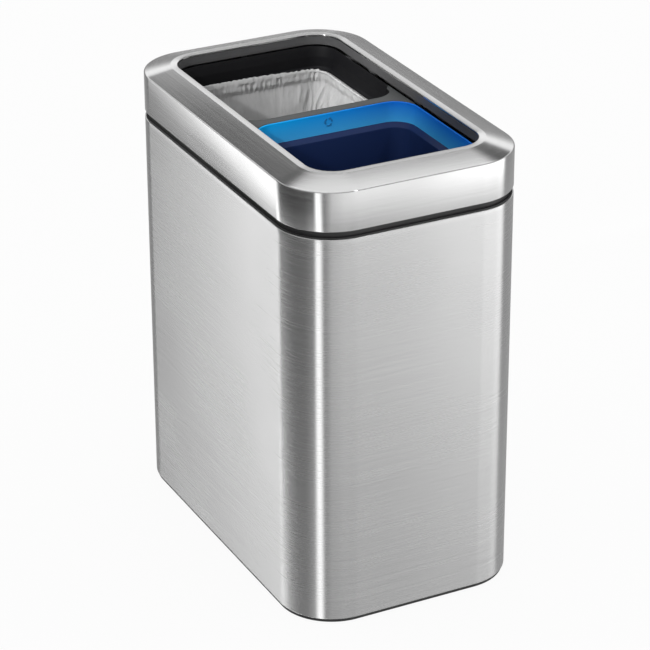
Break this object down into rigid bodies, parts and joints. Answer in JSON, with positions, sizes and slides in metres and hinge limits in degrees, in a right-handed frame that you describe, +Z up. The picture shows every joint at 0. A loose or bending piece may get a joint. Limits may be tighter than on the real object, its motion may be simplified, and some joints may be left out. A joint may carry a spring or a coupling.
{
  "type": "double recycling bin",
  "caption": "Slim open-top floor bin: brushed steel body and lift-off rim over a black trash bucket with a bag and ring, and a blue recycling bucket.",
  "frame": {"origin": "centre of the footprint, on the floor under the foot pads", "axes": "+Z up, +X across the narrow front to the viewer's right when facing the front, -Y towards the front (the blue bucket's end)"},
  "size_m": [0.247, 0.405, 0.4683],
  "materials": {
    "brushed_steel": "stainless sheet brushed level round the body, satin",
    "brushed_steel_rim": "stainless sheet brushed along the rim, satin",
    "black_plastic": "fine moulded texture, black",
    "dark_grey_plastic": "fine spark-eroded texture, dark grey",
    "bridge_plastic": "fine spark-eroded texture, dark grey",
    "black_bucket_plastic": "smooth satin, black",
    "blue_bucket_plastic": "satin polypropylene, bright blue",
    "blue_mark": "same plastic, raised and a shade darker",
    "bag_film": "thin crinkled film, milky",
    "soft_rubber": "matte",
    "screw_steel": "zinc plated"
  },
  "bodies": {
    "root": {"body_shell": "brushed_steel", "base_ring": "black_plastic", "base_pan": "black_plastic", "base_screws": "screw_steel", "collar": "black_plastic", "foot_pad_front_left": "soft_rubber", "foot_pad_front_right": "soft_rubber", "foot_pad_rear_left": "soft_rubber", "foot_pad_rear_right": "soft_rubber"},
    "rim": {"steel_rim": "brushed_steel_rim", "rim_inner_frame": "dark_grey_plastic", "rim_bumpers": "soft_rubber"},
    "recycling_bucket": {"recycling_bucket": "blue_bucket_plastic", "recycling_mark": "blue_mark"},
    "trash_bucket": {"trash_bucket": "black_bucket_plastic"},
    "trash_bag": {"trash_bag": "bag_film"},
    "liner_ring": {"trash_liner_ring": "dark_grey_plastic", "bucket_bridge": "bridge_plastic"}
  },
  "joints": [
    {"name": "rim_lift", "type": "slide", "parent": "root", "child": "rim", "axis": [0, 0, 1], "range_m": [0, 0.12]},
    {"name": "recycling_bucket_lift", "type": "slide", "parent": "root", "child": "recycling_bucket", "axis": [0, 0, 1], "range_m": [0, 0.47]},
    {"name": "trash_bucket_lift", "type": "slide", "parent": "root", "child": "trash_bucket", "axis": [0, 0, 1], "range_m": [0, 0.47]},
    {"name": "trash_bag_lift", "type": "slide", "parent": "trash_bucket", "child": "trash_bag", "axis": [0, 0, 1], "range_m": [0, 0.44]},
    {"name": "liner_ring_lift", "type": "slide", "parent": "trash_bag", "child": "liner_ring", "axis": [0, 0, 1], "range_m": [0, 0.06]}
  ]
}
